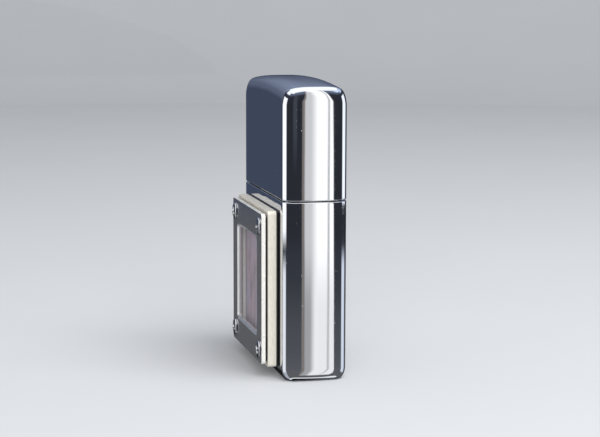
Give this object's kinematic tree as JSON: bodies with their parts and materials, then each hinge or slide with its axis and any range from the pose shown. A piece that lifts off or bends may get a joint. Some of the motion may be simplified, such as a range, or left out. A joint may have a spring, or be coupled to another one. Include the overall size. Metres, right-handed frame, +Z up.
{
  "type": "flip-lid lighter",
  "caption": "Upright flip-lid petrol lighter with rounded chrome case, crowned hinged lid, cam, wheel striker inside, and a screwed picture plaque on its front.",
  "frame": {"origin": "centre of the flat base of the bottom shell", "axes": "+Z up along the height, +X across the wide face towards the thumb side (the hinge is at -X), -Y out of the front face that carries the plaque"},
  "size_m": [0.0391, 0.0164, 0.0572],
  "materials": {
    "chrome_case": "mirror-polished chrome plate",
    "chrome_hinge": "polished chrome plate",
    "steel": "turned steel",
    "brushed_nickel": "warm brushed nickel plate",
    "black_gasket": "dark sheet seal",
    "polished_nickel": "polished nickel plate",
    "printed_card": "satin print, plain abstract wash",
    "clear_window": "clear and polished",
    "screw_steel": "polished screw head",
    "satin_steel": "satin stainless sheet",
    "felt": "pressed wool felt",
    "cotton": "loose cotton wadding",
    "wick_cord": "braided cord",
    "wheel_steel": "hardened file-cut steel",
    "brass": "turned brass",
    "flint_alloy": "dull sintered alloy"
  },
  "bodies": {
    "case": {"case_bottom": "chrome_case", "hinge_leaf_lower": "chrome_hinge", "hinge_pin": "steel", "plaque_base": "brushed_nickel", "plaque_gasket": "black_gasket", "plaque_frame": "polished_nickel", "picture_card": "printed_card", "window_cover": "clear_window", "plaque_screw_1": "screw_steel", "plaque_screw_2": "screw_steel", "plaque_screw_3": "screw_steel", "plaque_screw_4": "screw_steel", "insert_tank": "satin_steel", "insert_deck": "satin_steel", "windguard": "satin_steel", "felt_pad": "felt", "fuel_packing": "cotton", "wick": "wick_cord", "wheel_rivet": "steel", "flint_tube": "brass", "flint": "flint_alloy", "spring_tip": "brass", "flint_spring": "steel", "flint_screw": "brass", "cam_rivet": "steel", "cam_spring": "satin_steel", "cam_spring_rivet": "steel"},
    "lid": {"case_lid": "chrome_case", "hinge_leaf_upper": "chrome_hinge"},
    "cam": {"cam_lever": "satin_steel"},
    "wheel": {"flint_wheel": "wheel_steel"}
  },
  "joints": [
    {"name": "lid_hinge", "type": "hinge", "parent": "case", "child": "lid", "pos_m": [-0.0189, 0, 0.03465], "axis": [0, -1, 0], "range_deg": [0, 110]},
    {"name": "cam_pivot", "type": "hinge", "parent": "case", "child": "cam", "pos_m": [-0.0128, 0, 0.0399], "axis": [0, -1, 0], "range_deg": [0, 61]},
    {"name": "wheel_spin", "type": "hinge", "parent": "case", "child": "wheel", "pos_m": [0.011, 0, 0.0437], "axis": [0, 1, 0], "continuous": true}
  ],
  "couplings": [
    {"joint": "cam_pivot", "follows": "lid_hinge", "ratio": 0.55}
  ]
}
